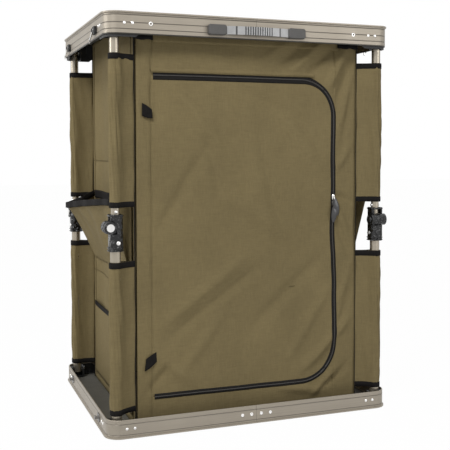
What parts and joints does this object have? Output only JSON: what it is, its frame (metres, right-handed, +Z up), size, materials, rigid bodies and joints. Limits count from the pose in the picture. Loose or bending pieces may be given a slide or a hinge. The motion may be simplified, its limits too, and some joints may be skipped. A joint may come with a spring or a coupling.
{
  "type": "camping cupboard",
  "caption": "Folding camping cupboard: aluminium trays on folding legs carry a cloth cabinet with shelves, side pockets and a zipped door, with a worktop and handle above.",
  "frame": {"origin": "middle of the whole footprint, handle included, on the floor", "axes": "+Z up, -Y towards the zipped door, +X to the viewer's right when facing the door"},
  "size_m": [0.6172, 0.4806, 0.8015],
  "materials": {
    "rail": "champagne anodised, satin",
    "tube": "champagne anodised, satin",
    "board": "laminated board, fine matt grain",
    "bracket": "fine moulded texture",
    "knuckle": "moulded, half gloss",
    "fastener": "bright zinc plated",
    "latch": "bright zinc plated",
    "handle": "soft moulded grip",
    "cloth": "coated olive polyester weave",
    "zip": "black coil zip on woven tape",
    "slider": "black lacquered"
  },
  "bodies": {
    "base": {"base_rail_left": "rail", "base_rail_right": "rail", "base_panel": "board", "base_splices": "rail", "base_pivot_pins": "fastener", "base_brackets": "bracket", "base_catches": "fastener", "back_wall": "cloth", "left_wall": "cloth", "right_wall": "cloth", "front_surround": "cloth", "shelves": "cloth", "bellows_pockets": "cloth", "flat_pockets": "cloth", "upper_sleeves": "cloth", "lower_sleeves": "cloth", "door_ties": "zip"},
    "top": {"top_rail_left": "rail", "top_rail_right": "rail", "top_panel": "board", "top_splices": "rail", "top_brackets": "bracket", "handle_caps": "handle", "handle_grip": "handle", "latch_plates": "bracket"},
    "door": {"door_panel": "cloth", "door_zip": "zip"},
    "slider_upper": {"zip_slider_upper": "slider"},
    "slider_lower": {"zip_slider_lower": "slider"},
    "lower_front_left": {"lower_tube_front_left": "tube", "knuckle_socket_front_left": "knuckle"},
    "upper_front_left": {"upper_tube_front_left": "tube", "knuckle_fork_front_left": "knuckle", "leg_pins_front_left": "fastener"},
    "button_front_left": {"knuckle_button_front_left": "knuckle"},
    "hook_front_left": {"latch_hook_front_left": "latch"},
    "lower_front_right": {"lower_tube_front_right": "tube", "knuckle_socket_front_right": "knuckle"},
    "upper_front_right": {"upper_tube_front_right": "tube", "knuckle_fork_front_right": "knuckle", "leg_pins_front_right": "fastener"},
    "button_front_right": {"knuckle_button_front_right": "knuckle"},
    "hook_front_right": {"latch_hook_front_right": "latch"},
    "lower_back_right": {"lower_tube_back_right": "tube", "knuckle_socket_back_right": "knuckle"},
    "upper_back_right": {"upper_tube_back_right": "tube", "knuckle_fork_back_right": "knuckle", "leg_pins_back_right": "fastener"},
    "button_back_right": {"knuckle_button_back_right": "knuckle"},
    "hook_back_right": {"latch_hook_back_right": "latch"},
    "lower_back_left": {"lower_tube_back_left": "tube", "knuckle_socket_back_left": "knuckle"},
    "upper_back_left": {"upper_tube_back_left": "tube", "knuckle_fork_back_left": "knuckle", "leg_pins_back_left": "fastener"},
    "button_back_left": {"knuckle_button_back_left": "knuckle"},
    "hook_back_left": {"latch_hook_back_left": "latch"}
  },
  "joints": [
    {"name": "leg_fold_front_left", "type": "hinge", "parent": "base", "child": "lower_front_left", "pos_m": [-0.279, -0.20565, 0.026], "axis": [0, 1, 0], "range_deg": [0, 90], "deforming": ["back_wall", "left_wall", "right_wall", "front_surround", "shelves", "bellows_pockets", "flat_pockets", "upper_sleeves", "lower_sleeves", "door_ties", "door_panel", "door_zip", "zip_slider_upper", "zip_slider_lower"]},
    {"name": "knuckle_fold_front_left", "type": "hinge", "parent": "lower_front_left", "child": "upper_front_left", "pos_m": [-0.291, -0.20565, 0.399], "axis": [0, -1, 0], "range_deg": [0, 180]},
    {"name": "leg_fold_front_right", "type": "hinge", "parent": "base", "child": "lower_front_right", "pos_m": [0.279, -0.20565, 0.026], "axis": [-1, 0, 0], "range_deg": [0, 90]},
    {"name": "knuckle_fold_front_right", "type": "hinge", "parent": "lower_front_right", "child": "upper_front_right", "pos_m": [0.279, -0.21765, 0.399], "axis": [1, 0, 0], "range_deg": [0, 180]},
    {"name": "leg_fold_back_right", "type": "hinge", "parent": "base", "child": "lower_back_right", "pos_m": [0.279, 0.21635, 0.026], "axis": [0, -1, 0], "range_deg": [0, 90]},
    {"name": "knuckle_fold_back_right", "type": "hinge", "parent": "lower_back_right", "child": "upper_back_right", "pos_m": [0.291, 0.21635, 0.399], "axis": [0, 1, 0], "range_deg": [0, 180]},
    {"name": "leg_fold_back_left", "type": "hinge", "parent": "base", "child": "lower_back_left", "pos_m": [-0.279, 0.21635, 0.026], "axis": [1, 0, 0], "range_deg": [0, 90]},
    {"name": "knuckle_fold_back_left", "type": "hinge", "parent": "lower_back_left", "child": "upper_back_left", "pos_m": [-0.279, 0.22835, 0.399], "axis": [-1, 0, 0], "range_deg": [0, 180]},
    {"name": "top_fold", "type": "hinge", "parent": "upper_front_left", "child": "top", "pos_m": [-0.279, -0.20565, 0.772], "axis": [0, 1, 0], "range_deg": [0, 90]},
    {"name": "button_press_front_left", "type": "slide", "parent": "upper_front_left", "child": "button_front_left", "axis": [0, -1, 0], "range_m": [0, 0.003], "stiffness_N_per_m": 400, "springref_m": -0.002},
    {"name": "hook_swing_front_left", "type": "hinge", "parent": "top", "child": "hook_front_left", "pos_m": [-0.3001, -0.14065, 0.775], "axis": [-1, 0, 0], "range_deg": [0, 60]},
    {"name": "button_press_front_right", "type": "slide", "parent": "upper_front_right", "child": "button_front_right", "axis": [1, 0, 0], "range_m": [0, 0.003], "stiffness_N_per_m": 400, "springref_m": -0.002},
    {"name": "hook_swing_front_right", "type": "hinge", "parent": "top", "child": "hook_front_right", "pos_m": [0.3001, -0.14065, 0.775], "axis": [-1, 0, 0], "range_deg": [0, 60]},
    {"name": "button_press_back_right", "type": "slide", "parent": "upper_back_right", "child": "button_back_right", "axis": [0, 1, 0], "range_m": [0, 0.003], "stiffness_N_per_m": 400, "springref_m": -0.002},
    {"name": "hook_swing_back_right", "type": "hinge", "parent": "top", "child": "hook_back_right", "pos_m": [0.3001, 0.15135, 0.775], "axis": [-1, 0, 0], "range_deg": [0, 60]},
    {"name": "button_press_back_left", "type": "slide", "parent": "upper_back_left", "child": "button_back_left", "axis": [-1, 0, 0], "range_m": [0, 0.003], "stiffness_N_per_m": 400, "springref_m": -0.002},
    {"name": "hook_swing_back_left", "type": "hinge", "parent": "top", "child": "hook_back_left", "pos_m": [-0.3001, 0.15135, 0.775], "axis": [-1, 0, 0], "range_deg": [0, 60]},
    {"name": "door_swing", "type": "hinge", "parent": "base", "child": "door", "pos_m": [-0.2055, -0.19465, 0.3765], "axis": [0, 0, -1], "range_deg": [0, 120]},
    {"name": "zip_upper_slide", "type": "slide", "parent": "door", "child": "slider_upper", "axis": [0, 0, 1], "range_m": [0, 0.16]},
    {"name": "zip_lower_slide", "type": "slide", "parent": "door", "child": "slider_lower", "axis": [0, 0, -1], "range_m": [0, 0.25]}
  ],
  "couplings": [
    {"joint": "knuckle_fold_front_left", "follows": "leg_fold_front_left", "ratio": 2},
    {"joint": "leg_fold_front_right", "follows": "leg_fold_front_left", "ratio": 1},
    {"joint": "knuckle_fold_front_right", "follows": "leg_fold_front_left", "ratio": 2},
    {"joint": "leg_fold_back_right", "follows": "leg_fold_front_left", "ratio": 1},
    {"joint": "knuckle_fold_back_right", "follows": "leg_fold_front_left", "ratio": 2},
    {"joint": "leg_fold_back_left", "follows": "leg_fold_front_left", "ratio": 1},
    {"joint": "knuckle_fold_back_left", "follows": "leg_fold_front_left", "ratio": 2},
    {"joint": "top_fold", "follows": "leg_fold_front_left", "ratio": 1}
  ]
}
